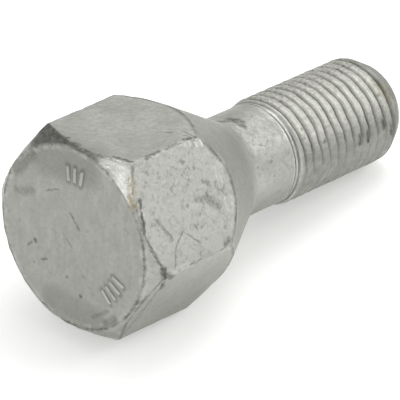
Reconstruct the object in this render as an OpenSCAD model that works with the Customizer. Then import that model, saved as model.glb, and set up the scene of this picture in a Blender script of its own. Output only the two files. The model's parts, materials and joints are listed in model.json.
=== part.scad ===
// Wheel bolt with a hexagon head, a conical seat and a metric thread, forged and thread-rolled in one piece.
// It lies as it comes to rest on a level surface: on the rear edge of one wrench flat and on the last thread
// crest. The bolt axis runs along +X, tip down, and the origin is below the middle of the part. Millimetres.

/* [Head] */
// Width across the wrench flats
across_flats = 24; // [20:0.5:30]
// Height of the wrench flats along the sharp hexagon corners, from the head face to the seat
head_height = 13.1; // [8:0.1:20]
// Diameter of the flat round face on the end of the head
face_diameter = 23.4; // [16:0.1:23.8]
// Angle between the head face and the chamfer round it
face_chamfer_angle = 42; // [20:1:55]
// How far the forged corners stay inside the sharp hexagon
corner_blunt = 0.15; // [0.05:0.05:0.6]

/* [Seat and shank] */
// Full angle of the conical seat
seat_angle = 60; // [50:1:90]
// Diameter of the plain shank, the size of the blank that the thread is rolled on
shank_diameter = 13.08; // [11:0.02:13.6]
// Radius of the hollow between the seat and the shank
seat_fillet_radius = 2.5; // [0.5:0.1:5]
// Length of the bolt from the head face to the tip
overall_length = 53.6; // [45:0.1:90]

/* [Thread] */
// Nominal diameter of the thread
thread_diameter = 14; // [12:0.5:16]
// Play that the thread crests leave on the nominal diameter
thread_allowance = 0.14; // [0.02:0.01:0.3]
// Pitch of the right-hand thread
thread_pitch = 1.5; // [1:0.25:2]
// Length of the threaded end, tip chamfer and run-out included
thread_length = 20.48; // [12:0.01:26]
// Length over which the thread fades into the shank
thread_runout = 1.3; // [0.5:0.1:3]
// Diameter of the flat end of the tip
tip_diameter = 11.1; // [8:0.1:12.4]
// Angle between the tip chamfer and the bolt axis
tip_chamfer_angle = 30; // [15:1:45]
// Facets round each turn of the thread
thread_facets = 28; // [24:4:48]

/* [Hidden] */
steel_colour = [0.66, 0.67, 0.64];
hex_sides = 6;
full_turn = 360;
lower_angle = 270;
fillet_steps = 8;

// Head: radii to the middles of the flats and to the sharp and the blunt corners
flat_r = across_flats / 2;
sharp_corner_r = flat_r / cos(full_turn / hex_sides / 2);
blunt_corner_r = sharp_corner_r - corner_blunt;
face_r = face_diameter / 2;
chamfer_depth = max(0, blunt_corner_r - face_r) * tan(face_chamfer_angle);

// Seat: the cone passes through the rear ends of the sharp hexagon corners
seat_half_angle = seat_angle / 2;
shank_r = shank_diameter / 2;
function seat_z(r) = head_height + (sharp_corner_r - r) / tan(seat_half_angle);

// Hollow between seat and shank: an arc that is tangent to both
fillet_centre_r = shank_r + seat_fillet_radius;
fillet_centre_z = seat_z(fillet_centre_r - seat_fillet_radius * cos(seat_half_angle))
    + seat_fillet_radius * sin(seat_half_angle);

// Thread: basic form of a metric thread, rolled on a blank of about the pitch diameter
crest_r = (thread_diameter - thread_allowance) / 2;
depth_per_pitch = 0.6134;
thread_depth = depth_per_pitch * thread_pitch;
thread_start = overall_length - thread_length;
thread_first = thread_start - thread_pitch;
blank_step = 0.02;
blank_r = shank_r - blank_step;
crest_half = 0.08;
root_middle = 0.5;
root_half = 0.12;
edge_round = 0.07;
// Share of the pitch along the axis and share of the depth, from one crest to the next
thread_form = [
    [0, 0],
    [crest_half, edge_round],
    [root_middle - root_half, 1 - edge_round],
    [root_middle, 1],
    [root_middle + root_half, 1 - edge_round],
    [1 - crest_half, edge_round],
    [1, 0]
];
form_points = len(thread_form) - 1;
thread_turns = floor((overall_length - thread_first) / thread_pitch);
last_row = thread_turns * form_points;

// Tip: the chamfer cone limits the thread, and the last rows are drawn together to end below the tip
tip_r = tip_diameter / 2;
chamfer_start = overall_length - (crest_r - tip_r) / tan(tip_chamfer_angle);
rows_end = thread_first + thread_pitch * (thread_turns + 1 + 1 / form_points);
tip_gather = (overall_length - chamfer_start) / (rows_end - chamfer_start);

// The blank and the thread overlap over a short length
join_length = 0.5;
shank_end = thread_first - join_length;
thread_bottom = shank_end - join_length;

// Rest: the rear edge of the lower flat and the last full thread crest touch the surface, the crest with the
// middle of a facet
lower_share = lower_angle / full_turn;
rest_z = seat_z(flat_r);
crest_turns = floor((chamfer_start - thread_first) / thread_pitch - lower_share) + lower_share;
rest_crest_z = thread_first + thread_pitch * crest_turns;
rest_crest_r = crest_r * cos(full_turn / thread_facets / 2);
rest_tilt = atan((flat_r - rest_crest_r) / (rest_crest_z - rest_z));
rest_lift = flat_r * cos(rest_tilt) + rest_z * sin(rest_tilt);
reach_back = -min(face_r, flat_r) * sin(rest_tilt);
reach_front = overall_length * cos(rest_tilt) + tip_r * sin(rest_tilt);

function run_in(z) = min(1, max(0, (z - thread_start) / thread_runout));
function chamfer_r(z) = tip_r + (overall_length - z) * tan(tip_chamfer_angle);
function pitch_share(z, a) =
    let (turns = (z - thread_first) / thread_pitch - a / full_turn)
        turns - floor(turns);
function thread_r(z, a) = crest_r - thread_depth * lookup(pitch_share(z, a), thread_form);
function surface_r(z, a) = min(chamfer_r(z), blank_r + (thread_r(z, a) - blank_r) * run_in(z));

// A row follows one line of the thread form up the helix
function helix_z(row, a) = thread_first + thread_pitch
    * (floor(row / form_points) + thread_form[row % form_points][0] + a / full_turn);
function gather(z) = z <= chamfer_start ? z : chamfer_start + (z - chamfer_start) * tip_gather;

// The columns stand half a facet off the axes, so that a facet faces straight down
function facet_angle(column) = full_turn * (column + 0.5) / thread_facets;
function on_circle(r, a, z) = [r * cos(a), r * sin(a), z];
function row_point(column, row) = let (a = facet_angle(column), z = gather(helix_z(row, a)))
    on_circle(surface_r(z, a), a, z);

// Numbers of the points in the list: the rows column by column, then the two end rings
function at(column, row) = column < thread_facets
    ? column * (last_row + 1) + row
    : row + form_points;
first_ring = thread_facets * (last_row + 1);
function start_at(column) = first_ring + column % thread_facets;
function end_at(column) = first_ring + thread_facets + column % thread_facets;

// Half section of the forging that the hexagon is cut from: face chamfer, seat, hollow and shank
module blank_profile() {
    polygon(concat(
        [
            [0, 0],
            [face_r, 0],
            [blunt_corner_r, chamfer_depth],
            [blunt_corner_r, seat_z(blunt_corner_r)]
        ],
        [
            for (step = [0:fillet_steps])
                let (a = seat_half_angle * (1 - step / fillet_steps))
                    [
                        fillet_centre_r - seat_fillet_radius * cos(a),
                        fillet_centre_z - seat_fillet_radius * sin(a)
                    ]
        ],
        [
            [shank_r, shank_end],
            [0, shank_end]
        ]
    ));
}

// The section starts its turn at the lower side, so that the seat has a point of contact there
module forged_blank() {
    intersection() {
        rotate([0, 0, lower_angle])
            rotate_extrude()
                blank_profile();
        cylinder(h = overall_length, r = sharp_corner_r, $fn = hex_sides);
    }
}

// Rolled thread: one closed surface that follows the helix, with a flat ring at each end
module rolled_thread() {
    last_column = thread_facets - 1;
    function next(column) = column < last_column ? column + 1 : 0;
    rows = [for (column = [0:last_column], row = [0:last_row]) row_point(column, row)];
    start_ring = [for (column = [0:last_column]) on_circle(blank_r, facet_angle(column), thread_bottom)];
    end_ring = [for (column = [0:last_column]) on_circle(tip_r, facet_angle(column), overall_length)];
    flanks = [
        for (column = [0:last_column], row = [0:last_row - 1])
            if (column < last_column || row < last_row - form_points)
                for (half = [0, 1])
                    half == 0
                        ? [at(column, row), at(column, row + 1), at(column + 1, row + 1)]
                        : [at(column, row), at(column + 1, row + 1), at(column + 1, row)]
    ];
    start_wall = [
        for (column = [0:last_column])
            each [
                [start_at(column), at(column, 0), start_at(column + 1)],
                [start_at(column + 1), at(column, 0), at(next(column), 0)]
            ]
    ];
    start_seam = [
        for (row = [0:form_points - 1])
            [at(last_column, 0), at(0, row + 1), at(0, row)]
    ];
    end_wall = [
        for (column = [0:last_column])
            each [
                [at(column, last_row), end_at(column), end_at(column + 1)],
                [at(column, last_row), end_at(column + 1), at(next(column), last_row)]
            ]
    ];
    end_seam = [
        for (row = [last_row - form_points:last_row - 1])
            [at(0, last_row), at(last_column, row), at(last_column, row + 1)]
    ];
    start_cap = [[for (column = [0:last_column]) start_at(column)]];
    end_cap = [[for (column = [0:last_column]) end_at(last_column - column)]];
    polyhedron(
        points = concat(rows, start_ring, end_ring),
        faces = concat(flanks, start_wall, start_seam, end_wall, end_seam, start_cap, end_cap)
    );
}

module wheel_bolt() {
    color(steel_colour)
        translate([-(reach_back + reach_front) / 2, 0, rest_lift])
            rotate([0, rest_tilt, 0])
                rotate([90, 0, 90]) {
                    forged_blank();
                    rolled_thread();
                }
}

wheel_bolt();
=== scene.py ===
# Wheel bolt on a pale studio floor: one piece of steel, forged, thread-rolled and coated with zinc flakes.
# The bolt is built in millimetres in its own frame, with Z along its axis from the head face to the tip and
# Y square to its upper wrench flat. The camera, the floor and the lamps are in metres in the scene's frame.
import json
import math
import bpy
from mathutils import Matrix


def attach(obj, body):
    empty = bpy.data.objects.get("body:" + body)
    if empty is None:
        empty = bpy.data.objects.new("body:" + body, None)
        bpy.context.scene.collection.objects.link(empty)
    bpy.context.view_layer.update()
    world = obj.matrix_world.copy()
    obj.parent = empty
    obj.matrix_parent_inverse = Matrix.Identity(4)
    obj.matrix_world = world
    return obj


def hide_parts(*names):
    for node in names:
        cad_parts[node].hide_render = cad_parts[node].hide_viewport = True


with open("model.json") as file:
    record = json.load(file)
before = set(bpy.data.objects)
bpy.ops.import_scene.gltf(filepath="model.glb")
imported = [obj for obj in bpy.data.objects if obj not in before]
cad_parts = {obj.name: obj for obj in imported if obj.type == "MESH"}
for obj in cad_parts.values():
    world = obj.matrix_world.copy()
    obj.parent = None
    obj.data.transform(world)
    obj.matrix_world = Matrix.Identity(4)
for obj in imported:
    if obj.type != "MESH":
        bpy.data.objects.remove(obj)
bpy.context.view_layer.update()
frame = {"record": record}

from types import SimpleNamespace

import bpy
import numpy as np
from mathutils import Matrix, Vector, noise

MM = 0.001

# Camera: the photograph's viewing angle, from slightly above the head end
CAMERA_AZIMUTH = -46.1
CAMERA_ELEVATION = 34.4
CAMERA_ROLL = -2.1
CAMERA_DISTANCE = 0.602
CAMERA_AIM = Vector((0.00013, 0.00395, 0.00413))
CAMERA_LENS = 436.9
SENSOR_WIDTH = 36.0

# Sizes of the bolt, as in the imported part, but for the thread's run-out, which is a little earlier and
# shorter
SIDES = 6
ACROSS_FLATS = 24.0
HEAD_HEIGHT = 13.1
FACE_RADIUS = 11.7
CHAMFER_ANGLE = math.radians(42)
SEAT_HALF_ANGLE = math.radians(30)
SHANK_RADIUS = 6.54
SEAT_FILLET = 2.5
LENGTH = 53.6
CREST_RADIUS = 6.93
PITCH = 1.5
DEPTH_PER_PITCH = 0.6134
THREAD_START = 32.95
THREAD_RUNOUT = 1.1
TIP_RADIUS = 5.55
TIP_ANGLE = math.radians(30)
# How far the coating fills the roots of the thread
ROOT_FILL = 0.38

# Small roundings that forging, rolling and the coating leave on the edges
FACE_RIM_ROUND = 0.55
CHAMFER_EDGE_ROUND = 0.4
SEAT_EDGE_ROUND = 0.5
TIP_EDGE_ROUND = 0.45
# One rounding for each corner of the hexagon, counted from the one at 0 degrees; the lower ones are worn
# most
CORNER_ROUNDS = (0.9, 0.6, 0.5, 0.8, 1.3, 1.0)

FLAT_RADIUS = ACROSS_FLATS / 2
SECTOR = math.tau / SIDES
CORNER_RADIUS = FLAT_RADIUS / math.cos(SECTOR / 2)
THREAD_DEPTH = DEPTH_PER_PITCH * PITCH - ROOT_FILL

# Placing the bolt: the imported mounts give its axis, its upper side and the middle of its head face
mounts = {m["name"]: m for m in frame["record"]["mounts"]}
AXIS = -Vector(mounts["head_face"]["axis"])
UPPER = Vector(mounts["wrench_flat_top"]["axis"])
HEAD_CENTRE = Vector(mounts["head_face"]["pos_m"])
SIDE = UPPER.cross(AXIS)
TO_ROW = Matrix((SIDE, UPPER, AXIS)).transposed()


def add_camera():
    """Adds the camera, which looks at its aim from its azimuth, elevation and distance, rolled a little."""
    camera = bpy.data.objects.new("camera", bpy.data.cameras.new("camera"))
    bpy.context.collection.objects.link(camera)
    camera.data.lens = CAMERA_LENS
    camera.data.sensor_width = SENSOR_WIDTH
    azimuth = math.radians(CAMERA_AZIMUTH)
    elevation = math.radians(CAMERA_ELEVATION)
    ahead = Vector((-math.sin(azimuth) * math.cos(elevation), math.cos(azimuth) * math.cos(elevation),
                    -math.sin(elevation)))
    turn = ahead.to_track_quat("-Z", "Y").to_matrix() @ Matrix.Rotation(math.radians(CAMERA_ROLL), 3, "Z")
    camera.matrix_world = Matrix.Translation(CAMERA_AIM - ahead * CAMERA_DISTANCE) @ turn.to_4x4()
    bpy.context.scene.camera = camera


add_camera()


# Mesh of the bolt: sections through the axis, one for each column of points round it
COLUMNS_PER_SECTOR = 40
CORNER_CROWDING = 0.8
# Roundings along the section of the head, from the rim of its face to the shank: radius and number of points
HEAD_ROUNDS = ((FACE_RIM_ROUND, 6), (CHAMFER_EDGE_ROUND, 5), (SEAT_EDGE_ROUND, 5), (SEAT_FILLET, 10))
# Steps along the straight stretch after each rounding: chamfer, wrench flat, seat and shank
STRAIGHT_STEPS = (6, 24, 22, 10)
# Rings of points on the two flat ends: the first and the last one as shares of the radius, and their number
FACE_RINGS = (0.02, 0.995, 34)
TIP_RINGS = (0.97, 0.03, 12)
TIP_EDGE_POINTS = 6


def column_angles():
    """Angles round the axis, closer together at the corners of the hexagon than along its flats."""
    share = np.arange(COLUMNS_PER_SECTOR) / COLUMNS_PER_SECTOR
    crowded = share - CORNER_CROWDING * np.sin(math.tau * share) / math.tau
    return np.concatenate([(k + crowded) * SECTOR for k in range(SIDES)])


ANGLES = column_angles()
COLUMNS = len(ANGLES)


def hexagon_radius(angles):
    """Distance from the axis to the side of the hexagon, whose corners are rounded."""
    corner = np.round(angles / SECTOR).astype(int)
    rounding = np.array(CORNER_ROUNDS)[corner % SIDES]
    from_corner = angles - corner * SECTOR
    flat = FLAT_RADIUS / np.cos(SECTOR / 2 - np.abs(from_corner))
    centre = (FLAT_RADIUS - rounding) / math.cos(SECTOR / 2)
    inside_root = rounding**2 - (centre * np.sin(from_corner))**2
    rounded = centre * np.cos(from_corner) + np.sqrt(np.maximum(inside_root, 0))
    on_rounding = np.abs(from_corner) < np.arctan2(rounding * math.sin(SECTOR / 2),
                                                   centre + rounding * math.cos(SECTOR / 2))
    return np.where(on_rounding, rounded, flat)


def seat_z(r):
    """Height at which the seat cone has a radius."""
    return HEAD_HEIGHT + (CORNER_RADIUS - r) / math.tan(SEAT_HALF_ANGLE)


def tip_cone_radius(z):
    """Radius of the cone of the tip chamfer at a height."""
    return TIP_RADIUS + (LENGTH - z) * math.tan(TIP_ANGLE)


def unit(v):
    """Vectors of length 1 with the same directions."""
    return v / np.linalg.norm(v, axis=-1, keepdims=True)


def arc(before, corner, after, radius, steps):
    """Points along an arc that rounds a corner of the section, tangent to both of its sides."""
    back, on = unit(before - corner), unit(after - corner)
    half = np.arccos(np.clip(np.sum(back * on, -1, keepdims=True), -1, 1)) / 2
    centre = corner + unit(back + on) * radius / np.sin(half)
    first = unit(corner + back * radius / np.tan(half) - centre)
    last = unit(corner + on * radius / np.tan(half) - centre)
    sweep = math.pi - 2 * half
    return [centre + radius * (np.sin((1 - s) * sweep) * first + np.sin(s * sweep) * last) / np.sin(sweep)
            for s in np.linspace(0, 1, steps)]


def between(first, last, steps):
    """Points between two ends, without the ends, closer together near them."""
    shares = 0.5 - 0.5 * np.cos(math.pi * np.arange(1, steps) / steps)
    return [first + (last - first) * s for s in shares]


def point(r, z):
    """The same place in every section, or one for each column, as radius and height."""
    return np.stack(np.broadcast_arrays(np.asarray(r, float) + np.zeros(COLUMNS), z), -1)


def head_rows():
    """Rows of section points from near the middle of the head face to the plain end of the shank."""
    hexagon = hexagon_radius(ANGLES)
    corners = (
        point(0.0, 0.0),
        point(FACE_RADIUS, 0.0),
        point(hexagon, (hexagon - FACE_RADIUS) * math.tan(CHAMFER_ANGLE)),
        point(hexagon, seat_z(hexagon)),
        point(SHANK_RADIUS, seat_z(SHANK_RADIUS)),
        point(SHANK_RADIUS, THREAD_FIRST - SHANK_GAP),
    )
    stretches = [arc(*corners[k:k + 3], *rounding) for k, rounding in enumerate(HEAD_ROUNDS)]
    stretches.append([corners[-1]])
    rows = [stretches[0][0] * share for share in np.linspace(*FACE_RINGS)]
    for before, after, steps in zip(stretches, stretches[1:], STRAIGHT_STEPS):
        rows += before + between(before[-1], after[0], steps)
    return rows + stretches[-1]


# Form of the rolled thread from a crest to the middle of the next root, broad and round under its coating:
# shares of the pitch and of the depth
HALF_FORM = ((0, 0), (0.14, 0.01), (0.235, 0.04), (0.3, 0.11), (0.36, 0.27), (0.41, 0.53), (0.447, 0.78),
             (0.475, 0.95))
THREAD_FORM = HALF_FORM + ((0.5, 1),) + tuple((1 - share, depth) for share, depth in HALF_FORM[:0:-1])
FORM_POINTS = len(THREAD_FORM)
FORM_SHARES = np.array([share for share, _ in THREAD_FORM] + [1.0])
FORM_DEPTHS = np.array([depth for _, depth in THREAD_FORM] + [0.0])
# The rows along the helix start at this height, a little above the last ring of the shank
THREAD_FIRST = 31.4
SHANK_GAP = 0.4
CHAMFER_START = LENGTH - (CREST_RADIUS - TIP_RADIUS) / math.tan(TIP_ANGLE)
# They end short of the flat end of the tip
TIP_GAP = 0.5
THREAD_END = LENGTH - TIP_GAP
TURNS = int((THREAD_END - THREAD_FIRST) / PITCH)


def smooth(value, low, high):
    """0 up to the low value, 1 from the high one on, and a soft step between them."""
    share = np.clip((value - low) / (high - low), 0, 1)
    return share * share * (3 - 2 * share)


def run_in(z):
    """0 on the plain shank, 1 where the thread has its full depth."""
    return smooth(z, THREAD_START, THREAD_START + THREAD_RUNOUT)


def root_share(z):
    """0 on the crests of the thread and 1 in its roots."""
    turn = (z - THREAD_FIRST) / PITCH - ANGLES / math.tau
    return np.interp(turn - np.floor(turn), FORM_SHARES, FORM_DEPTHS)


# Side on which the wet coating gathered in the thread, the share of the depth that it filled there, and the
# cosines of the angle from that side between which the filling fades
FILLED_SIDE = math.radians(228)
FILLED_SHARE = 0.78
FILLED_FADE = (0.15, 0.85)
FILL = FILLED_SHARE * smooth(np.cos(ANGLES - FILLED_SIDE), *FILLED_FADE)


def thread_radius(z):
    """Radius of the shank, the thread and the tip chamfer, with one height for each column."""
    rolled = CREST_RADIUS - THREAD_DEPTH * (1 - FILL) * root_share(z)
    blended = SHANK_RADIUS + (rolled - SHANK_RADIUS) * run_in(z)
    return np.minimum(blended, tip_cone_radius(z))


def helix_rows():
    """Rows that follow the helix, drawn together on the tip chamfer to end before the tip."""
    rows_end = THREAD_FIRST + PITCH * (TURNS + 1 + 1 / FORM_POINTS)
    gather = (THREAD_END - CHAMFER_START) / (rows_end - CHAMFER_START)
    rows = []
    for row in range(TURNS * FORM_POINTS + 1):
        share = row // FORM_POINTS + FORM_SHARES[row % FORM_POINTS]
        z = THREAD_FIRST + PITCH * (share + ANGLES / math.tau)
        z = np.where(z > CHAMFER_START, CHAMFER_START + (z - CHAMFER_START) * gather, z)
        rows.append(np.stack([thread_radius(z), z], -1))
    return rows


def tip_rows():
    """Rows from the end of the thread over the rounded edge of the tip to the middle of its flat end."""
    chamfer = point(thread_radius(np.full(COLUMNS, THREAD_END)), THREAD_END)
    edge = point(TIP_RADIUS, LENGTH)
    middle = point(0.0, LENGTH)
    edge_arc = arc(chamfer, edge, middle, TIP_EDGE_ROUND, TIP_EDGE_POINTS)
    face = [edge_arc[-1] * np.array((share, 1.0)) for share in np.linspace(*TIP_RINGS)]
    return [chamfer] + edge_arc + face


def ring_faces(first, rows):
    """Quads between rows of points that go straight round the axis; first is the first point's number."""
    return [(first + row * COLUMNS + c, first + row * COLUMNS + (c + 1) % COLUMNS,
             first + (row + 1) * COLUMNS + (c + 1) % COLUMNS, first + (row + 1) * COLUMNS + c)
            for row in range(rows - 1) for c in range(COLUMNS)]


def helix_faces(first, rows):
    """Faces of the rows along the helix, and of the walls that join them to the rings before and after."""
    last = COLUMNS - 1

    def at(row, column):
        return first + row * COLUMNS + column

    faces = [(at(row, c), at(row, c + 1), at(row + 1, c + 1), at(row + 1, c))
             for row in range(-1, rows) for c in range(last)]
    faces += [(at(row, last), at(row + FORM_POINTS, 0), at(row + FORM_POINTS + 1, 0), at(row + 1, last))
              for row in range(rows - FORM_POINTS - 1)]
    faces += [(at(0, last), at(-1, last), at(-1, 0)), (at(0, last), at(-1, 0), at(0, 0))]
    faces += [(at(0, last), at(row, 0), at(row + 1, 0)) for row in range(FORM_POINTS)]
    top = rows - 1
    faces += [(at(top, 0), at(rows, 0), at(rows, last)), (at(top, 0), at(rows, last), at(top, last))]
    faces += [(at(top, 0), at(top - k, last), at(top - k - 1, last)) for k in range(FORM_POINTS)]
    return faces


def point_normals(points, faces):
    """Normals of the points, from the faces that meet at them."""
    corners = np.array([face if len(face) == 4 else face + face[-1:] for face in faces])
    a, b, c, d = (points[corners[:, k]] for k in range(4))
    normals = np.zeros_like(points)
    for k in range(4):
        np.add.at(normals, corners[:, k], np.cross(c - a, d - b))
    return unit(normals)


# Raised bars on the head face, plain ones in two groups: the group's middle and its number of bars
BAR_GROUPS = ((math.radians(88), 3), (math.radians(212), 4))
BAR_SPACING = math.radians(7.5)
BAR_RADII = (7.2, 9.2)
BAR_WIDTH = 0.54
BAR_HEIGHT = 0.18
# How deep the foot of a bar is sunk in the face, and how far it reaches past the bar's length and width
BAR_FOOT = 0.15
LONG_REACH = 1.12
CROSS_REACH = 1.15
# Points along a bar and across it, and the powers that make its ends steep and its back round
LONG_POINTS = 18
CROSS_POINTS = 10
END_POWER = 6
BACK_POWER = 3
# Fine rings that the rolling dies leave at the start of the thread: height, half width and depth
DIE_RINGS = ((32.1, 0.10, 0.03), (32.8, 0.10, 0.10), (33.28, 0.11, 0.13))
# Heights of the ridges between the rings, which are painted bright as highlights, and their half width
DIE_RIDGES = (32.55, 33.04, 33.56)
RIDGE_HALF = 0.11
# Dents in the head face and the flats: place, radius and depth
DENTS = (
    ((6.1, -3.0, 0.0), 0.5, 0.10),
    ((7.0, -3.8, 0.0), 0.45, 0.06),
    ((-6.8, -8.7, 0.0), 0.9, 0.10),
    ((-9.9, 6.9, 12.4), 0.7, 0.10),
    ((-10.9, 5.0, 12.3), 0.8, 0.14),
    ((-10.5, 5.8, 14.4), 0.5, 0.10),
    ((-10.4, 6.1, 10.0), 0.7, 0.07),
    ((-10.5, 5.7, 8.3), 0.7, 0.06),
    ((-12.0, 3.2, 4.1), 0.6, 0.08),
    ((-12.0, 3.3, 8.7), 0.6, 0.08),
    ((-8.0, 10.1, 9.6), 0.5, 0.06),
    ((-8.6, 9.1, 11.1), 0.5, 0.05),
    ((-11.3, 4.4, 3.6), 0.8, 0.07),
    ((-13.6, 0.0, 1.8), 1.0, 0.25),
    ((-13.0, -1.8, 2.2), 0.6, 0.12),
    ((-13.6, 0.6, 12.6), 0.8, 0.12),
    ((-6.9, 11.9, 12.9), 0.8, 0.14),
    ((-6.7, 12.0, 6.0), 0.7, 0.07),
    ((6.4, 11.4, 1.2), 0.9, 0.12),
    ((-9.6, 7.6, 1.0), 0.8, 0.12),
    ((-0.8, 11.9, 1.1), 0.6, 0.08),
)
# Unevenness left by forging, as the size of its waves and their height, also along the edges and on the
# thread
FORGING_WAVES = ((4.5, 0.045), (1.6, 0.018))
EDGE_WAVES = (1.3, 0.09)
EDGE_REACH = 0.45
THREAD_WAVES = (0.8, 0.05)
# How the threads sway along the axis, as the size of the waves and their height
THREAD_SWAY = (2.2, 0.22)
# The waves along the edges end at the first height. From the second one on, rolling smooths the forging's
# waves away, by the share after it.
HEAD_END = 18
ROLLED_FROM = 31
ROLLED_SMOOTH = 0.75
# The sway grows over this length from the start of the thread, and fades from this height to the tip chamfer
SWAY_GROWTH = 2
SWAY_FADE = 49.5


def bar_lines():
    """Both ends of the middle line of each raised bar, from the inside out."""
    lines = []
    for middle, bars in BAR_GROUPS:
        for bar in range(bars):
            angle = middle + (bar - (bars - 1) / 2) * BAR_SPACING
            lines.append(tuple((radius * math.cos(angle), radius * math.sin(angle), 0.0)
                               for radius in BAR_RADII))
    return lines


def bar_points(inner, outer):
    """Points of one raised bar, a low round ridge whose foot is sunk in the face."""
    middle = (Vector(inner) + Vector(outer)) / 2
    along = (Vector(outer) - Vector(inner)) / 2
    across = Vector((-along.y, along.x, 0)).normalized() * BAR_WIDTH / 2
    points = []
    for u in np.linspace(-1, 1, LONG_POINTS):
        for v in np.linspace(-1, 1, CROSS_POINTS):
            rise = math.sqrt(max(0, (1 - abs(u)**END_POWER) * (1 - abs(v)**BACK_POWER)))
            spot = middle + along * (u * LONG_REACH) + across * (v * CROSS_REACH)
            points.append((spot.x, spot.y, BAR_FOOT - (BAR_HEIGHT + BAR_FOOT) * rise))
    return points


def bar_faces(start):
    """Quads over the back of one bar, whose points begin at start, and one flat face under it."""
    long_last, cross_last = LONG_POINTS - 1, CROSS_POINTS - 1

    def at(u, v):
        return start + u * CROSS_POINTS + v

    faces = [(at(u, v), at(u, v + 1), at(u + 1, v + 1), at(u + 1, v))
             for u in range(long_last) for v in range(cross_last)]
    foot = [at(u, 0) for u in range(long_last)] + [at(long_last, v) for v in range(cross_last)]
    foot += [at(u, cross_last) for u in range(long_last, 0, -1)]
    foot += [at(0, v) for v in range(cross_last, 0, -1)]
    return faces + [tuple(foot)]


def ripple(points, size, height):
    """Height of waves of one size at each point."""
    return height * np.array([noise.noise(Vector(p) / size) for p in points])


def seat_gap(points):
    """Distance of each point from the seat cone, negative inside it."""
    radius = np.hypot(points[:, 0], points[:, 1])
    above = points[:, 2] - HEAD_HEIGHT
    return (radius - CORNER_RADIUS) * math.cos(SEAT_HALF_ANGLE) + above * math.sin(SEAT_HALF_ANGLE)


def chamfer_gap(points):
    """Distance of each point from the chamfer cone of the head, negative inside it."""
    radius = np.hypot(points[:, 0], points[:, 1])
    return (radius - FACE_RADIUS) * math.sin(CHAMFER_ANGLE) - points[:, 2] * math.cos(CHAMFER_ANGLE)


def nearest_edge(points):
    """Distance from each point of the head to the nearest edge between two of its faces."""
    middles = [(k + 0.5) * SECTOR for k in range(SIDES)]
    off = [points[:, 0] * math.cos(middle) + points[:, 1] * math.sin(middle) - FLAT_RADIUS
           for middle in middles]
    off += [chamfer_gap(points), seat_gap(points), -points[:, 2]]
    return np.maximum(-np.sort(np.array(off), axis=0)[-2], 0)


def forged_surface(points, normals):
    """The same points with the forging's unevenness, the dents and the rings left by the rolling dies."""
    z = points[:, 2]
    on_thread = smooth(z, ROLLED_FROM, THREAD_START)
    lift = np.zeros(len(points))
    for size, height in FORGING_WAVES:
        lift += ripple(points, size, height) * (1 - ROLLED_SMOOTH * on_thread)
    lift += ripple(points, *EDGE_WAVES) * np.exp(-(nearest_edge(points) / EDGE_REACH)**2) * (z < HEAD_END)
    lift += ripple(points, *THREAD_WAVES) * on_thread * (z < CHAMFER_START)
    for place, radius, depth in DENTS:
        gap = np.linalg.norm(points - np.array(place), axis=1) / radius
        lift -= depth * np.exp(-gap**2)
    for height, half_width, depth in DIE_RINGS:
        lift -= depth * np.exp(-((z - height) / half_width)**2)
    swaying = smooth(z, THREAD_START, THREAD_START + SWAY_GROWTH) * (1 - smooth(z, SWAY_FADE, CHAMFER_START))
    moved = points + normals * lift[:, None]
    moved[:, 2] += ripple(points, *THREAD_SWAY) * swaying
    return moved


def shaft_mesh():
    """Points and faces of the head, the shank and the thread, as one closed surface without the bars."""
    head, helix, tip = head_rows(), helix_rows(), tip_rows()
    section = np.array(head + helix + tip)
    ring = np.stack([np.cos(ANGLES), np.sin(ANGLES)], -1)
    rows = np.concatenate([section[..., :1] * ring, section[..., 1:]], -1)
    points = np.concatenate([rows.reshape(-1, 3), [[0, 0, 0], [0, 0, LENGTH]]])
    helix_first = len(head) * COLUMNS
    tip_first = helix_first + len(helix) * COLUMNS
    tip_last = tip_first + (len(tip) - 1) * COLUMNS
    face_middle, tip_middle = len(points) - 2, len(points) - 1
    faces = ring_faces(0, len(head)) + helix_faces(helix_first, len(helix)) + ring_faces(tip_first, len(tip))
    for c in range(COLUMNS):
        after = (c + 1) % COLUMNS
        faces.append((face_middle, after, c))
        faces.append((tip_last + c, tip_last + after, tip_middle))
    return points, faces


# Underside, on which shade is painted, and how much further that side reaches round the thread, as a cosine
SHADED_UNDERSIDE = math.radians(238)
THREAD_UNDER = 0.25
# Soft steps of the values below: where each one is 0 and where it is 1
STEPS = {
    "tip": (THREAD_END - 0.05, THREAD_END + 0.15),
    "thread": (THREAD_START + 0.1, THREAD_START + 1.3),
    "seat cone": (-0.3, -0.05),
    "shank": (23, 25.5),
    "bar": (0, BAR_HEIGHT * 0.6),
    "underside": (0.25, 0.95),
    "behind the face": (0.1, 0.6),
    "chamfer cone": (-0.13, -0.05),
    "filled side": (-0.05, 0.6),
}


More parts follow.
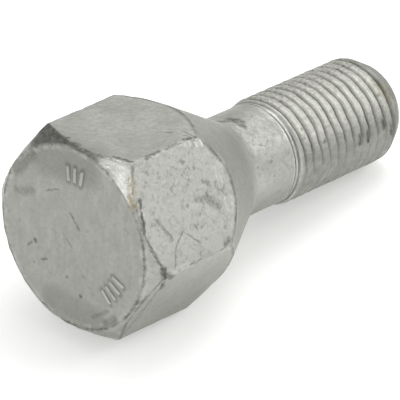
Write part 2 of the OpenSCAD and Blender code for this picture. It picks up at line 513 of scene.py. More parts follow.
def point_values(plain, on_bar):
    """What the material has to know of each point: values from 0 to 1, and the distance to the next edge."""
    radius, angle, z = np.hypot(plain[:, 0], plain[:, 1]), np.arctan2(plain[:, 1], plain[:, 0]), plain[:, 2]
    envelope = np.minimum(CREST_RADIUS, tip_cone_radius(z))
    off_tip = 1 - smooth(z, *STEPS["tip"])
    threaded = smooth(z, *STEPS["thread"]) * off_tip
    below = smooth(np.cos(angle - SHADED_UNDERSIDE) + THREAD_UNDER * threaded, *STEPS["underside"])
    return {
        "edge_mm": np.where(on_bar, FACE_RADIUS, nearest_edge(plain)),
        "root": np.clip((envelope - radius) / THREAD_DEPTH, 0, 1) * run_in(z) * off_tip,
        "threaded": threaded,
        "seat": smooth(seat_gap(plain), *STEPS["seat cone"]) * (1 - smooth(z, *STEPS["shank"])),
        "raised": smooth(-z, *STEPS["bar"]),
        # under: the underside, where shade is painted
        "under": below * smooth(z, *STEPS["behind the face"]) * off_tip,
        # rings and ridges: where shade is painted in the die rings and highlights on the ridges between them
        "rings": sum(np.exp(-((z - height) / width)**2) for height, width, _ in DIE_RINGS[1:]),
        "ridges": sum(np.exp(-((z - height) / RIDGE_HALF)**2) for height in DIE_RIDGES),
        "chamfer": smooth(chamfer_gap(plain), *STEPS["chamfer cone"]),
        "filled": smooth(np.cos(angle - FILLED_SIDE), *STEPS["filled side"]) * threaded,
    }


def add_bolt():
    """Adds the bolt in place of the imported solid, with the bars and the values that its material reads."""
    plain, faces = shaft_mesh()
    points = forged_surface(plain, point_normals(plain, faces))
    shaft_points = len(plain)
    bars = []
    for inner, outer in bar_lines():
        faces += bar_faces(shaft_points + len(bars))
        bars += bar_points(inner, outer)
    plain = np.concatenate([plain, bars])
    points = np.concatenate([points, bars])
    turned = points @ np.array(TO_ROW).T * MM + np.array(HEAD_CENTRE)
    mesh = bpy.data.meshes.new("wheel_bolt_forging")
    mesh.from_pydata(turned.tolist(), [], faces)
    mesh.polygons.foreach_set("use_smooth", [True] * len(faces))
    for name, value in point_values(plain, np.arange(len(plain)) >= shaft_points).items():
        mesh.attributes.new(name, "FLOAT", "POINT").data.foreach_set("value", value.astype(np.float32))
    mesh.attributes.new("place_mm", "FLOAT_VECTOR", "POINT").data.foreach_set(
        "vector", plain.astype(np.float32).ravel())
    mesh.update()
    bolt = bpy.data.objects.new("wheel_bolt_forging", mesh)
    bpy.context.collection.objects.link(bolt)
    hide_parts("wheel_bolt")
    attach(bolt, "root")
    return bolt


# Materials
def linear(code):
    """An sRGB hex colour as the linear RGBA that a shader takes."""
    parts = [int(code[k:k + 2], 16) / 255 for k in (1, 3, 5)]
    return tuple(p / 12.92 if p <= 0.04045 else ((p + 0.055) / 1.055)**2.4 for p in parts) + (1.0,)


def add_node(tree, kind, inputs=(), **settings):
    """Adds a shader node with its settings and links. Its inputs, a list in order or a dictionary, hold
    values, sockets, or nodes whose first output is meant."""
    made = tree.nodes.new("ShaderNode" + kind)
    for name, value in settings.items():
        setattr(made, name, value)
    for key, value in inputs.items() if isinstance(inputs, dict) else enumerate(inputs):
        source = value.outputs[0] if isinstance(value, bpy.types.Node) else value
        if isinstance(source, bpy.types.NodeSocket):
            tree.links.new(source, made.inputs[key])
        else:
            made.inputs[key].default_value = source
    return made


ZINC = "#ABACA6"
ZINC_PALE = "#C3C4BE"
ZINC_DULL = "#8F908A"
# Pale of the crests: rubbed wear and painted highlight
CREST_PALE_AND_HIGHLIGHT = "#D0D0C8"
# Dark of real dirt and of painted shade
GRIME_AND_SHADE = "#45463F"
# Bright of bare worn coat, and of painted highlights and glints
BARE_COAT_AND_HIGHLIGHT = "#E4E4DF"
RUST_TINT = "#BFB49A"
PAPER_WHITE = "#F4F4F2"

# Marks on the bolt, as lines or spots: both ends, radius and strength
FACE_MARKS = (
    ((0.7, 3.0, 0.0), (-1.0, 1.3, 0.0), 0.22, 0.5),
    ((1.0, -0.6, 0.0), (0.1, -1.4, 0.0), 0.18, 0.35),
    ((7.3, -4.2, 0.0), (6.6, -3.4, 0.0), 0.20, 0.45),
    ((6.1, -3.0, 0.0), (6.1, -3.0, 0.0), 0.42, 0.7),
    ((4.8, -5.1, 0.0), (3.9, -4.6, 0.0), 0.20, 0.6),
    ((6.0, -6.0, 0.0), (6.0, -6.0, 0.0), 0.22, 0.5),
    ((0.5, -5.7, 0.0), (0.5, -5.7, 0.0), 0.28, 0.5),
    ((-2.1, -4.6, 0.0), (-2.1, -4.6, 0.0), 0.32, 0.5),
    ((-1.9, -7.3, 0.0), (-1.9, -7.3, 0.0), 0.36, 0.7),
    ((4.7, 4.4, 0.0), (2.8, 5.3, 0.0), 0.16, 0.4),
    ((9.5, 2.5, 0.0), (7.1, 3.3, 0.0), 0.8, 0.3),
    ((-4.1, -9.2, 0.0), (-6.3, -7.5, 0.0), 0.35, 0.32),
    ((-6.2, -9.2, 0.0), (-7.5, -8.1, 0.0), 0.7, 0.38),
    ((9.7, 5.0, 0.0), (7.4, 8.2, 0.0), 1.0, 0.4),
)
# Wide patches on the chamfer alone: a dark one, and a bright one that is a painted reflection of a lamp
CHAMFER_STAINS = (
    ((6.9, 11.5, 1.4), (2.8, 11.6, 0.2), 2.1, 0.75),
    ((7.2, 9.9, 0.3), (4.7, 11.2, 0.4), 1.5, 0.65),
)
CHAMFER_PAINTED_GLINT = (
    ((-3.9, 11.5, 0.4), (-6.1, 11.2, 0.9), 1.1, 0.8),
    ((-5.9, 11.2, 0.9), (-8.2, 8.8, 0.3), 1.6, 1.0),
)
# Dark marks with torn edges, along the edges of the head and on the tip
TORN_MARKS = (
    ((-6.0, 2.2, 52.0), (-6.5, 0.0, 51.3), 1.3, 0.35),
    ((-3.6, 5.6, 50.4), (-5.0, 3.8, 52.4), 1.1, 0.3),
    ((2.6, 11.5, 0.0), (0.7, 12.0, 0.3), 0.7, 0.7),
    ((4.5, 11.6, 0.7), (4.5, 11.6, 0.7), 0.5, 0.85),
    ((2.6, 12.0, 0.7), (2.6, 12.0, 0.7), 0.5, 0.9),
    ((6.9, 11.9, 1.8), (6.9, 11.9, 1.8), 0.6, 0.9),
    ((-4.3, 12.0, 1.6), (-6.5, 12.0, 2.2), 0.35, 0.75),
    ((-9.1, 8.3, 1.3), (-10.6, 5.6, 0.5), 0.35, 0.8),
    ((-10.7, 5.5, 0.5), (-11.1, 4.8, 0.3), 0.35, 0.75),
    ((-11.3, 4.3, 0.3), (-13.2, 1.0, 1.4), 0.28, 0.6),
    ((-13.3, 0.6, 1.5), (-13.5, -0.6, 1.9), 0.65, 0.85),
    ((-13.8, 0.0, 1.9), (-13.2, -1.1, 3.3), 0.55, 0.6),
    ((-12.9, -1.6, 2.2), (-12.3, -2.6, 2.6), 0.45, 0.75),
    ((-13.0, -1.4, 2.2), (-10.1, -6.5, 2.1), 0.26, 0.5),
    ((-9.8, -7.1, 2.2), (-7.8, -10.5, 1.6), 0.24, 0.4),
)
FLAT_MARKS = (
    ((-6.7, 12.0, 4.6), (-6.7, 12.0, 6.8), 0.38, 0.65),
    ((-6.8, 12.0, 7.9), (-6.7, 12.0, 9.7), 0.28, 0.5),
    ((-6.6, 12.0, 11.3), (-6.9, 12.0, 13.0), 0.45, 0.8),
    ((-4.8, 12.0, 12.7), (-6.6, 12.0, 12.9), 0.18, 0.5),
    ((-5.9, 12.0, 12.0), (-6.8, 12.0, 12.8), 0.18, 0.5),
    ((-4.1, 12.0, 11.1), (-4.4, 12.0, 11.5), 0.25, 0.5),
    ((1.6, 12.0, 8.9), (-0.3, 12.0, 12.1), 0.14, 0.25),
    ((1.9, 12.0, 5.8), (-1.3, 12.0, 8.4), 0.14, 0.2),
    ((-10.6, 5.5, 2.9), (-12.0, 3.3, 4.2), 0.40, 0.5),
    ((-11.8, 3.6, 6.2), (-12.6, 2.2, 4.3), 0.18, 0.5),
    ((-12.6, 2.2, 4.3), (-13.6, 0.3, 3.2), 0.18, 0.45),
    ((-11.8, 3.6, 6.2), (-12.9, 1.7, 8.3), 0.18, 0.4),
)
FLAT_DENTS = (
    ((-10.5, 5.8, 11.6), (-11.3, 4.4, 12.8), 0.85, 0.5),
    ((-9.6, 7.4, 11.8), (-9.9, 6.9, 12.6), 0.45, 0.45),
    ((-10.5, 5.8, 14.1), (-10.6, 5.7, 14.4), 0.34, 0.6),
    ((-9.9, 6.8, 13.6), (-10.6, 5.6, 13.7), 0.30, 0.35),
    ((-10.4, 6.1, 9.8), (-10.7, 5.5, 10.8), 0.50, 0.4),
    ((-10.5, 5.7, 8.3), (-10.5, 5.7, 8.3), 0.45, 0.4),
    ((-12.0, 3.2, 4.1), (-12.0, 3.2, 4.1), 0.45, 0.6),
    ((-12.0, 3.3, 8.7), (-12.0, 3.3, 8.7), 0.45, 0.45),
    ((-8.0, 10.1, 9.6), (-8.0, 10.1, 9.6), 0.34, 0.5),
    ((-8.6, 9.1, 11.1), (-8.6, 9.1, 11.1), 0.32, 0.45),
    ((-13.6, 0.4, 12.2), (-13.5, 0.7, 12.9), 0.60, 0.6),
)
SHANK_MARKS = (
    ((0.8, 6.5, 25.8), (-0.1, 6.5, 27.2), 0.40, 0.6),
    ((0.2, 6.5, 27.4), (-0.9, 6.5, 28.1), 0.80, 0.7),
    ((-1.3, 6.4, 27.7), (-1.8, 6.3, 27.9), 0.50, 0.65),
    ((-4.4, 4.8, 27.8), (-4.8, 4.5, 28.7), 0.14, 0.4),
    ((-4.8, 4.5, 28.7), (-4.4, 4.8, 29.5), 0.14, 0.4),
    ((-0.8, 6.5, 30.3), (-0.8, 6.5, 30.3), 0.22, 0.5),
    ((-3.7, 5.4, 27.4), (-3.7, 5.4, 27.4), 0.25, 0.35),
    ((-5.9, 2.8, 28.7), (-5.9, 2.8, 28.7), 0.25, 0.5),
    ((-5.9, 2.8, 26.2), (-5.9, 2.8, 26.2), 0.22, 0.4),
    ((-6.5, 1.0, 28.8), (-6.5, 1.0, 28.8), 0.22, 0.5),
    ((-6.5, 1.0, 31.6), (-6.5, 1.0, 31.6), 0.20, 0.4),
    ((-9.0, 6.4, 18.0), (-9.0, 6.4, 18.0), 0.22, 0.45),
)
THREAD_MARKS = (
    ((-6.4, 1.9, 48.8), (-6.6, 1.0, 48.9), 0.50, 0.9),
    ((-6.5, 1.4, 45.8), (-6.7, 0.3, 46.0), 0.50, 0.9),
    ((-6.5, 1.4, 44.3), (-6.7, 0.4, 44.4), 0.50, 0.85),
    ((-6.6, 0.9, 50.2), (-6.7, -0.2, 50.5), 0.46, 0.85),
    ((-4.9, 4.6, 35.1), (-4.9, 4.6, 35.1), 0.38, 0.6),
    ((-5.5, 3.8, 34.9), (-5.5, 3.8, 34.9), 0.36, 0.6),
    ((-6.2, 2.6, 38.1), (-6.2, 2.6, 38.1), 0.45, 0.6),
    ((-5.3, -4.1, 40.4), (-5.3, -4.1, 40.4), 0.50, 0.9),
    ((-3.9, 5.4, 50.6), (-3.9, 5.4, 50.6), 0.60, 0.4),
    ((-4.9, 4.6, 49.8), (-4.9, 4.6, 49.8), 0.50, 0.45),
    ((-5.2, 4.2, 51.5), (-5.2, 4.2, 51.5), 0.50, 0.45),
)
# Painted glints: streaks of highlight on a dent in the flats, and a spot on the thread
PAINTED_GLINT_MARKS = (
    ((-7.1, 11.7, 12.4), (-7.5, 11.1, 12.6), 0.22, 0.8),
    ((-7.1, 11.6, 13.4), (-7.6, 10.8, 13.6), 0.22, 0.8),
    ((-7.0, 11.8, 11.7), (-7.3, 11.3, 11.6), 0.20, 0.6),
    ((-9.1, 8.2, 14.2), (-9.8, 7.0, 14.1), 0.20, 0.4),
    ((-9.6, 7.4, 14.7), (-10.3, 6.1, 14.6), 0.20, 0.5),
    ((-10.9, 5.1, 14.4), (-11.8, 3.6, 14.2), 0.18, 0.35),
    ((-5.5, 3.8, 36.7), (-5.5, 3.8, 36.7), 0.35, 0.8),
)
TINT_MARKS = (
    ((-7.4, 10.5, 1.2), (-8.4, 9.2, 0.8), 0.7, 0.9),
    ((-8.3, 8.8, 0.4), (-9.0, 7.9, 0.3), 0.7, 1.0),
    ((-4.2, 5.2, 50.7), (-5.4, 3.9, 51.7), 1.3, 0.5),
)
# Wide dull patches: painted shade on the head face along its rim, and stains on the tip
FACE_SHADE_AND_TIP_STAINS = (
    ((5.5, 8.6, 0.0), (-1.5, 9.6, 0.0), 4.2, 0.95),
    ((2.5, -9.5, 0.0), (-4.5, -9.6, 0.0), 3.6, 0.8),
    ((-6.3, 1.2, 51.6), (-6.6, -1.2, 49.5), 2.6, 0.8),
    ((0.5, 6.3, 52.6), (-4.9, 3.9, 52.6), 3.0, 1.0),
)
# Settings of the nodes that make a soft step, and of those that mix two colours
SOFT = {"interpolation_type": "SMOOTHSTEP"}
COLOURS = {"data_type": "RGBA"}
# A mark is strongest up to the first of these shares of its radius, and gone at the second
MARK_FADE = (0.2, 1.2)
# Directions square to the axis: the flat that rubbed most on other bolts, and the upper side of the thread,
# on which shade is painted
RUBBED_FLAT = Vector((math.cos(math.radians(150)), math.sin(math.radians(150)), 0))
SHADED_UPPER_SIDE = Vector((math.cos(math.radians(58)), math.sin(math.radians(58)), 0))
# How far places are moved about for the edges of marks, and how much the streaks on the face are drawn out
DRIFT = {"warped": 0.5, "torn": 1.0}
STREAK_STRETCH = (1.0, 0.2, 1.0)

# Noise by itself: the size of its waves in millimetres, their detail and their roughness. The flakes are a
# hundredth or two of a millimetre wide, too fine to show, so their grain is drawn ten times as coarse.
DRIFT_WAVES = (0.7, 3.0, 0.5)
PALE_WAVES = (2.6, 3.0, 0.5)
MOTTLE_WAVES = (0.55, 4.0, 0.6)
FLAKE_WAVES = (0.2, 3.0, 0.5)
# Random patterns: the same three values, then a low and a high value of the noise and the strength at each
PATTERNS = {
    "streaks on the face": (0.8, 3.0, 0.55, 0.3, 0.75, 0.38, 0.58),
    "dull filled thread": (0.9, 3.0, 0.5, 0.35, 0.65, 0.55, 0.9),
    # pale crests: partly rubbed wear, partly painted highlight
    "crest wear and highlight": (0.45, 5.0, 0.65, 0.35, 0.6, 0.4, 1.1),
    "worn edges": (1.6, 3.0, 0.5, 0.45, 0.65, 0.0, 0.2),
    "uneven rings": (1.6, 2.0, 0.5, 0.35, 0.6, 0.3, 1.0),
    "rust": (0.5, 3.0, 0.5, 0.35, 0.6, 0.0, 1.0),
    "ragged edge dirt": (0.5, 2.0, 0.5, 0.3, 0.7, -0.08, 0.10),
    "edge dirt": (1.8, 3.0, 0.5, 0.38, 0.62, 0.2, 0.6),
    # painted shade in the roots of the thread
    "painted root shade": (1.2, 3.0, 0.5, 0.3, 0.7, 0.0, 0.45),
    "fine specks": (0.3, 4.0, 0.7, 0.55, 0.75, 0.0, 1.0),
    "wide specks": (1.0, 5.0, 0.7, 0.5, 0.7, 0.0, 1.0),
    "patches of specks": (2.6, 2.0, 0.5, 0.4, 0.62, 0.15, 0.45),
    # painted shade, mottled, on the upper side of the thread
    "shaded upper side": (0.4, 5.0, 0.7, 0.44, 0.64, 0.08, 0.5),
    "grain of scratches": (0.4, 3.0, 0.5, 0.3, 0.62, 0.45, 1.0),
    "soot": (0.5, 3.0, 0.5, 0.3, 0.62, 0.68, 1.0),
    "pits": (0.7, 2.0, 0.5, 0.62, 0.4, 0.0, 1.0),
}
# Soft steps over a value: where the step starts and ends, and the strength at each
FADES = {
    "head face": (0.12, 0.03, 0.0, 1.0),
    "rubbed flat": (11.3, 11.9, 0.0, 1.0),
    "pale patches": (0.3, 0.75, 0.1, 0.7),
    "dull mottle": (0.45, 0.75, 0.0, 0.45),
    "crests": (0.75, 0.3, 0.0, 1.0),
    "before the tip chamfer": (CHAMFER_START + 0.2, CHAMFER_START - 1.6, 0.0, 1.0),
    "worn edges": (0.62, 0.3, 0.0, 1.0),
    "edge dirt": (0.28, 0.0, 0.0, 1.0),
    # painted shade in the roots of the thread, by their depth
    "painted root shade": (0.7, 1.0, 0.0, 1.0),
    # painted shade on the upper side of the thread, by the distance towards that side
    "shaded upper side": (3.6, 6.3, 0.12, 1.0),
    "roughness": (0.3, 0.7, 0.42, 0.56),
}
# Strengths of single layers, among them painted shade and painted highlights, and how much is taken away:
# edge dirt under the painted glint on the chamfer, painted root shade on the underside, and stains on the
# face
RUBBED_PALE = 0.75
SEAT_PAINTED_SHADE = 0.7
UNDERSIDE_PAINTED_SHADE = 0.56
BARS_PAINTED_HIGHLIGHT = 0.25
RIDGES_PAINTED_HIGHLIGHT = 0.7
RINGS_PAINTED_SHADE = 0.75
SPECKS_EVERYWHERE = 0.35
SPECKS_ON_RUBBED = 0.65
GLINT_CLEAN = 0.75
UNDERSIDE_LESS_ROOT_SHADE = 0.5
FACE_CLEAN = 0.8
# Radius and strength of the painted shadow round the raised bars
BAR_PAINTED_SHADOW = (0.6, 0.32)
# Relief in millimetres: flake grain everywhere and more of it on the thread, pits, and scratches
FLAKE_GRAIN = 0.014
THREAD_GRAIN = 0.03
PIT_DEPTH = 0.02
SCRATCH_DEPTH = 0.04
# How metallic the flakes in their binder are, and what the dark layers of dirt and painted shade, the thread
# and the bright places of wear and painted highlight do to the roughness
METALLIC = 0.75
DIRT_ROUGH = 0.25
THREAD_ROUGH = 0.08
BRIGHT_SMOOTH = 0.15


def marks(tree, place, listed):
    """Strength of the strongest of several marks, which end softly."""
    total = None
    full, gone = MARK_FADE
    for start, end, radius, strength in listed:
        nearest = start
        if start != end:
            along = Vector(end) - Vector(start)
            pull = along / along.length_squared
            reach = add_node(tree, "VectorMath", [place, pull], operation="DOT_PRODUCT").outputs[1]
            share = add_node(tree, "Math", [reach, pull.dot(Vector(start))], operation="SUBTRACT",
                             use_clamp=True)
            part = add_node(tree, "VectorMath", {0: along, 3: share}, operation="SCALE")
            nearest = add_node(tree, "VectorMath", [part, start], operation="ADD")
        gap = add_node(tree, "VectorMath", [place, nearest], operation="DISTANCE").outputs[1]
        mark = add_node(tree, "MapRange", [gap, radius * gone, radius * full, 0.0, strength], **SOFT)
        if total is not None:
            mark = add_node(tree, "Math", [total, mark], operation="MAXIMUM")
        total = mark
    return total


def noise_inputs(place, size, detail, rough):
    """Inputs of a noise node, from the size of its waves in millimetres, their detail and roughness."""
    return {"Vector": place, "Scale": 1 / size, "Detail": detail, "Roughness": rough}


def pattern(tree, place, name):
    """A random pattern, from its row in the list."""
    waves = add_node(tree, "TexNoise", noise_inputs(place, *PATTERNS[name][:3]))
    return add_node(tree, "MapRange", [waves, *PATTERNS[name][3:]], **SOFT)


def lay_over(tree, layers, layer, share):
    """Lays one more layer, weakened by its share, over the ones before: the strongest of them shows."""
    weakened = add_node(tree, "Math", [layer, share], operation="MULTIPLY")
    return add_node(tree, "Math", [layers, weakened], operation="MAXIMUM")


def thin_out(tree, layer, where, share):
    """Takes a share of a layer away in the places where another one is strong."""
    taken = add_node(tree, "Math", [where, share], operation="MULTIPLY")
    left = add_node(tree, "Math", [1.0, taken], operation="SUBTRACT")
    return add_node(tree, "Math", [layer, left], operation="MULTIPLY")


def read_skin(tree):
    """What the mesh says of each place on the bolt, and the places moved about for the edges of marks."""
    skin = SimpleNamespace(place=add_node(tree, "Attribute", attribute_name="place_mm").outputs["Vector"])
    for name in ("edge_mm", "root", "threaded", "seat", "raised", "under"):
        setattr(skin, name, add_node(tree, "Attribute", attribute_name=name).outputs["Fac"])
    skin.height = add_node(tree, "SeparateXYZ", [skin.place]).outputs[2]
    skin.on_face = add_node(tree, "MapRange", [skin.height, *FADES["head face"]], **SOFT)
    drift = add_node(tree, "TexNoise", noise_inputs(skin.place, *DRIFT_WAVES))
    drift = add_node(tree, "VectorMath", [drift.outputs["Color"], (0.5, 0.5, 0.5)], operation="SUBTRACT")
    for name, reach in DRIFT.items():
        moved = add_node(tree, "VectorMath", [drift, (reach, reach, reach)], operation="MULTIPLY")
        setattr(skin, name, add_node(tree, "VectorMath", [skin.place, moved], operation="ADD"))
    return skin


def coat_colour(tree, skin):
    """The coat in pale and dull patches: pale on the rubbed flat, dull streaks on the face, and painted
    shade on the seat cone, the underside and the rim of the face.
    """
    reach = add_node(tree, "VectorMath", [skin.place, RUBBED_FLAT], operation="DOT_PRODUCT").outputs["Value"]
    skin.rubbed = add_node(tree, "MapRange", [reach, *FADES["rubbed flat"]], **SOFT)
    patches = add_node(tree, "TexNoise", noise_inputs(skin.place, *PALE_WAVES))
    skin.mottle = add_node(tree, "TexNoise", noise_inputs(skin.place, *MOTTLE_WAVES))
    pale = add_node(tree, "MapRange", [patches, *FADES["pale patches"]], **SOFT)
    pale = lay_over(tree, pale, skin.rubbed, RUBBED_PALE)
    coat = add_node(tree, "Mix", {0: pale, 6: linear(ZINC), 7: linear(ZINC_PALE)}, **COLOURS)
    dull = add_node(tree, "MapRange", [skin.mottle, *FADES["dull mottle"]], **SOFT)
    # Painted shade on the seat cone
    dull = lay_over(tree, dull, skin.seat, SEAT_PAINTED_SHADE)
    drawn_out = add_node(tree, "VectorMath", [skin.warped, STREAK_STRETCH], operation="MULTIPLY")
    dull = lay_over(tree, dull, skin.on_face, pattern(tree, drawn_out, "streaks on the face"))
    # Painted shade on the underside
    dull = lay_over(tree, dull, skin.under, UNDERSIDE_PAINTED_SHADE)
    skin.filled = add_node(tree, "Attribute", attribute_name="filled").outputs["Fac"]
    dull = lay_over(tree, dull, skin.filled, pattern(tree, skin.place, "dull filled thread"))
    # Painted shade along the rim of the head face, and stains on the tip
    dull = add_node(tree, "Math", [dull, marks(tree, skin.warped, FACE_SHADE_AND_TIP_STAINS)], operation="MAXIMUM")
    return add_node(tree, "Mix", {0: dull, 6: coat.outputs[2], 7: linear(ZINC_DULL)}, **COLOURS).outputs[2]


def crest_wear_and_highlight(tree, skin, colour):
    """Thread crests made pale, partly by rubbed wear and partly as a painted highlight, but for the shaded
    underside, the filled side and the tip chamfer.
    """
    crest = add_node(tree, "MapRange", [skin.root, *FADES["crests"]], **SOFT)
    crest = add_node(tree, "Math", [skin.threaded, crest], operation="MULTIPLY")
    before_tip = add_node(tree, "MapRange", [skin.height, *FADES["before the tip chamfer"]], **SOFT)
    crest = add_node(tree, "Math", [crest, before_tip], operation="MULTIPLY")
    shaded_side_and_filled = add_node(tree, "Math", [skin.under, skin.filled], operation="MAXIMUM")
    rubs = add_node(tree, "Math", [pattern(tree, skin.place, "crest wear and highlight"), shaded_side_and_filled], operation="SUBTRACT")
    crest = add_node(tree, "Math", [crest, rubs], operation="MULTIPLY")
    crest = add_node(tree, "Math", [crest, 0.0], operation="MAXIMUM")
    return add_node(tree, "Mix", {0: crest, 6: colour, 7: linear(CREST_PALE_AND_HIGHLIGHT)}, **COLOURS).outputs[2]


def brighten(tree, skin, colour):
    """Bright places: edges where the coat is worn thin, a painted lamp reflection on the chamfer, painted
    glints on a dent and on the thread, and painted highlights on the raised bars and the rolled ridges.
    """
    worn = add_node(tree, "MapRange", [skin.edge_mm, *FADES["worn edges"]], **SOFT)
    worn = add_node(tree, "Math", [worn, pattern(tree, skin.place, "worn edges")], operation="MULTIPLY")
    skin.chamfer = add_node(tree, "Attribute", attribute_name="chamfer").outputs["Fac"]
    # Painted reflection of a lamp on the chamfer facet at the second corner
    rubs = marks(tree, skin.warped, CHAMFER_PAINTED_GLINT)
    skin.rubs = add_node(tree, "Math", [rubs, skin.chamfer], operation="MULTIPLY")
    dent_and_thread_glints = marks(tree, skin.warped, PAINTED_GLINT_MARKS)
    bright = add_node(tree, "Math", [skin.rubs, dent_and_thread_glints], operation="MAXIMUM")
    # The raised bars painted brighter as a highlight
    bright = lay_over(tree, bright, skin.raised, BARS_PAINTED_HIGHLIGHT)
    skin.uneven = pattern(tree, skin.place, "uneven rings")
    # Painted highlights on the ridges between the die rings
    ridges = add_node(tree, "Attribute", attribute_name="ridges").outputs["Fac"]
    broken = add_node(tree, "Math", [skin.uneven, RIDGES_PAINTED_HIGHLIGHT], operation="MULTIPLY")
    ridges = add_node(tree, "Math", [ridges, broken], operation="MULTIPLY")
    # Worn edges, together with the painted highlights on the ridges
    worn = add_node(tree, "Math", [worn, ridges], operation="MAXIMUM")
    skin.bright = add_node(tree, "Math", [bright, worn], operation="MAXIMUM")
    return add_node(tree, "Mix", {0: skin.bright, 6: colour, 7: linear(BARE_COAT_AND_HIGHLIGHT)}, **COLOURS).outputs[2]


def rust(tree, skin, colour):
    """The little rust on the chamfer and the tip."""
    spots = marks(tree, skin.torn, TINT_MARKS)
    spots = add_node(tree, "Math", [spots, pattern(tree, skin.place, "rust")], operation="MULTIPLY")
    return add_node(tree, "Mix", {0: spots, 6: colour, 7: linear(RUST_TINT)}, **COLOURS).outputs[2]


def edge_dirt(tree, skin):
    """Dirt along the edges of the head, less of it under the painted lamp reflection on the chamfer."""
    ragged = pattern(tree, skin.place, "ragged edge dirt")
    ragged = add_node(tree, "Math", [skin.edge_mm, ragged], operation="ADD")
    dirt = add_node(tree, "MapRange", [ragged, *FADES["edge dirt"]], **SOFT)
    dirt = add_node(tree, "Math", [dirt, pattern(tree, skin.place, "edge dirt")], operation="MULTIPLY")
    return thin_out(tree, dirt, skin.rubs, GLINT_CLEAN)


def root_painted_shade(tree, skin):
    """Painted shade in the roots of the thread and in the die rings beside it."""
    dirt = add_node(tree, "MapRange", [skin.root, *FADES["painted root shade"]], **SOFT)
    dirt = add_node(tree, "Math", [dirt, pattern(tree, skin.place, "painted root shade")], operation="MULTIPLY")
    dirt = thin_out(tree, dirt, skin.under, UNDERSIDE_LESS_ROOT_SHADE)
    rings = add_node(tree, "Attribute", attribute_name="rings").outputs["Fac"]
    # Painted shade in the grooves of the die rings
    broken = add_node(tree, "Math", [skin.uneven, RINGS_PAINTED_SHADE], operation="MULTIPLY")
    return lay_over(tree, dirt, rings, broken)


def speck_dirt(tree, skin):
    """Specks of dirt, most of them on the rubbed flat."""
    fine, wide = (pattern(tree, skin.place, name) for name in ("fine specks", "wide specks"))
    specks = add_node(tree, "Math", [fine, wide], operation="MAXIMUM")
    patches = pattern(tree, skin.place, "patches of specks")
    specks = add_node(tree, "Math", [specks, patches], operation="MULTIPLY")
    share = add_node(tree, "Math", [skin.rubbed, SPECKS_ON_RUBBED], operation="MULTIPLY")
    share = add_node(tree, "Math", [share, SPECKS_EVERYWHERE], operation="ADD")
    skin.specks = add_node(tree, "Math", [specks, share], operation="MULTIPLY")
    return skin.specks


def side_painted_shade(tree, skin):
    """Painted shade, mottled, on the upper side of the thread."""
    side = add_node(tree, "VectorMath", [skin.place, SHADED_UPPER_SIDE], operation="DOT_PRODUCT").outputs["Value"]
    side = add_node(tree, "MapRange", [side, *FADES["shaded upper side"]], **SOFT)
    side = add_node(tree, "Math", [side, skin.threaded], operation="MULTIPLY")
    return add_node(tree, "Math", [side, pattern(tree, skin.place, "shaded upper side")], operation="MULTIPLY")


def bar_painted_shadow(tree, skin):
    """Painted shadow in the face round the raised bars, and not on them."""
    round_bars = marks(tree, skin.warped, [(inner, outer, *BAR_PAINTED_SHADOW) for inner, outer in bar_lines()])
    return add_node(tree, "Math", [round_bars, skin.raised], operation="SUBTRACT")


def scratch_dirt(tree, skin):
    """Dirt in scratches and dents, grainy but on the thread."""
    grain = pattern(tree, skin.place, "grain of scratches")
    scratches = marks(tree, skin.warped, SHANK_MARKS + FACE_MARKS + FLAT_MARKS)
    dents = marks(tree, skin.torn, FLAT_DENTS)
    scratches = add_node(tree, "Math", [scratches, dents], operation="MAXIMUM")
    scratches = add_node(tree, "Math", [scratches, grain], operation="MULTIPLY")
    in_thread = marks(tree, skin.warped, THREAD_MARKS)
    skin.scratches = add_node(tree, "Math", [scratches, in_thread], operation="MAXIMUM")
    return skin.scratches


def stain_dirt(tree, skin):
    """Sooty stains on the chamfer and dark marks with torn edges, weak on the head face."""
    off_face = add_node(tree, "Math", [skin.on_face, FACE_CLEAN], operation="MULTIPLY")
    off_face = add_node(tree, "Math", [1.0, off_face], operation="SUBTRACT")
    soot = add_node(tree, "Math", [pattern(tree, skin.place, "soot"), off_face], operation="MULTIPLY")
    stains = marks(tree, skin.torn, CHAMFER_STAINS)
    stains = add_node(tree, "Math", [stains, skin.chamfer], operation="MULTIPLY")
    torn = marks(tree, skin.torn, TORN_MARKS)
    stains = add_node(tree, "Math", [stains, torn], operation="MAXIMUM")
    return add_node(tree, "Math", [stains, soot], operation="MULTIPLY")


def relief(tree, skin):
    """Small unevenness of the surface: flake grain, pits and the depth of scratches and specks."""
    flakes = add_node(tree, "TexNoise", noise_inputs(skin.place, *FLAKE_WAVES))
    grain = add_node(tree, "Math", [skin.threaded, THREAD_GRAIN], operation="MULTIPLY")
    grain = add_node(tree, "Math", [grain, FLAKE_GRAIN], operation="ADD")
    flakes = add_node(tree, "Math", [flakes, grain], operation="MULTIPLY")
    pits = add_node(tree, "Math", [pattern(tree, skin.place, "pits"), PIT_DEPTH], operation="MULTIPLY")
    height = add_node(tree, "Math", [flakes, pits], operation="ADD")
    cut = add_node(tree, "Math", [skin.scratches, skin.specks], operation="MAXIMUM")
    cut = add_node(tree, "Math", [cut, SCRATCH_DEPTH], operation="MULTIPLY")
    height = add_node(tree, "Math", [height, cut], operation="SUBTRACT")
    return add_node(tree, "Bump", {"Height": height, "Distance": MM, "Strength": 1.0})


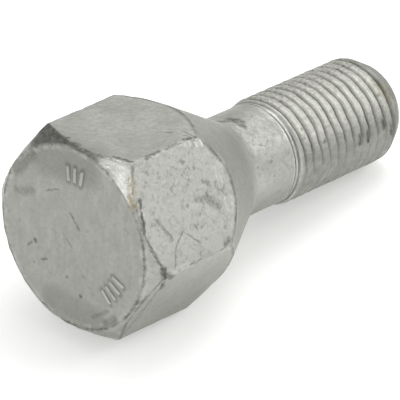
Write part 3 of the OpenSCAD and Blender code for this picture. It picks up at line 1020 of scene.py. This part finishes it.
# Zinc-flake coating on forged steel: thin flakes of zinc in a binder, dipped on and baked, which give a dull
# grey with a soft metallic sheen. Tumbling against other bolts and use have scuffed it.
def zinc_flake_steel():
    """Material of the whole bolt: its colour, the dirt and the painted shade on it, its relief and its
    roughness.
    """
    material = bpy.data.materials.new("zinc_flake_coated_forged_steel")
    material.use_nodes = True
    tree = material.node_tree
    shader = tree.nodes["Principled BSDF"]
    skin = read_skin(tree)
    colour = coat_colour(tree, skin)
    for change in (crest_wear_and_highlight, brighten, rust):
        colour = change(tree, skin, colour)
    # The dark layers mix real dirt with painted shade in the roots, on the upper side of the thread and
    # round the bars
    dirt = edge_dirt(tree, skin)
    layers = [layer(tree, skin) for layer in
              (root_painted_shade, speck_dirt, side_painted_shade, bar_painted_shadow, scratch_dirt, stain_dirt)]
    for layer in layers:
        dirt = add_node(tree, "Math", [dirt, layer], operation="MAXIMUM")
    colour = add_node(tree, "Mix", {0: dirt, 6: colour, 7: linear(GRIME_AND_SHADE)}, **COLOURS).outputs[2]
    bump = relief(tree, skin)
    roughness = add_node(tree, "MapRange", [skin.mottle, *FADES["roughness"]], **SOFT)
    for layer, share, operation in ((dirt, DIRT_ROUGH, "ADD"), (skin.threaded, THREAD_ROUGH, "ADD"),
                                    (skin.bright, BRIGHT_SMOOTH, "SUBTRACT")):
        change = add_node(tree, "Math", [layer, share], operation="MULTIPLY")
        roughness = add_node(tree, "Math", [roughness, change], operation=operation)
    tree.links.new(colour, shader.inputs["Base Color"])
    tree.links.new(roughness.outputs[0], shader.inputs["Roughness"])
    tree.links.new(bump.outputs[0], shader.inputs["Normal"])
    shader.inputs["Metallic"].default_value = METALLIC
    return material


# How far the paper is lifted towards white where it is seen, and how matt it is
FLOOR_LIFT = 0.34
PAPER_ROUGHNESS = 0.9


# White background paper, rolled from bleached pulp and matt. It is lifted to pure white where it is seen or
# mirrored, but for the shadow.
def floor_paper():
    """Material of the floor."""
    material = bpy.data.materials.new("white_background_paper")
    material.use_nodes = True
    tree = material.node_tree
    shader = tree.nodes["Principled BSDF"]
    shader.inputs["Base Color"].default_value = linear(PAPER_WHITE)
    shader.inputs["Roughness"].default_value = PAPER_ROUGHNESS
    path = add_node(tree, "LightPath").outputs
    seen = path["Is Camera Ray"]
    for ray in ("Is Glossy Ray", "Is Transmission Ray"):
        seen = add_node(tree, "Math", [seen, path[ray]], operation="MAXIMUM")
    lift = add_node(tree, "Math", [seen, FLOOR_LIFT], operation="MULTIPLY")
    glow = add_node(tree, "Emission", {"Strength": lift})
    both = add_node(tree, "AddShader", [shader, glow])
    tree.links.new(both.outputs[0], tree.nodes["Material Output"].inputs["Surface"])
    return material


# Half the width of the floor, in metres
FLOOR_HALF = 1.5


def add_floor():
    """Adds the floor, a square sheet of paper at the height on which the bolt lies."""
    corners = [(-FLOOR_HALF, -FLOOR_HALF, 0), (FLOOR_HALF, -FLOOR_HALF, 0), (FLOOR_HALF, FLOOR_HALF, 0),
               (-FLOOR_HALF, FLOOR_HALF, 0)]
    mesh = bpy.data.meshes.new("floor")
    mesh.from_pydata(corners, [], [(0, 1, 2, 3)])
    floor = bpy.data.objects.new("floor", mesh)
    bpy.context.collection.objects.link(floor)
    mesh.materials.append(floor_paper())


# Softboxes: place in metres, size in metres and power in watts, each turned to the bolt
LIGHTS = {
    "top": ((0.35, 0.1, 0.8), 0.6, 3.0),
    "right": ((0.5, -0.45, 0.5), 0.5, 1.7),
    "left": ((-0.7, 0.0, 0.4), 0.5, 0.9),
}
WORLD_LEVEL = 0.55


def add_lights():
    """Adds the softboxes, and a white world round them."""
    for name, (place, size, power) in LIGHTS.items():
        lamp = bpy.data.objects.new(name, bpy.data.lights.new(name, "AREA"))
        bpy.context.collection.objects.link(lamp)
        lamp.data.size = size
        lamp.data.energy = power
        lamp.location = place
        lamp.rotation_euler = (-Vector(place)).to_track_quat("-Z", "Y").to_euler()
    world = bpy.data.worlds.new("studio")
    bpy.context.scene.world = world
    world.use_nodes = True
    background = world.node_tree.nodes["Background"]
    background.inputs["Strength"].default_value = WORLD_LEVEL
    background.inputs["Color"].default_value = (1.0, 1.0, 1.0, 1.0)


bolt = add_bolt()
bolt.data.materials.append(zinc_flake_steel())
add_floor()
add_lights()
bpy.context.scene.view_settings.view_transform = "Standard"
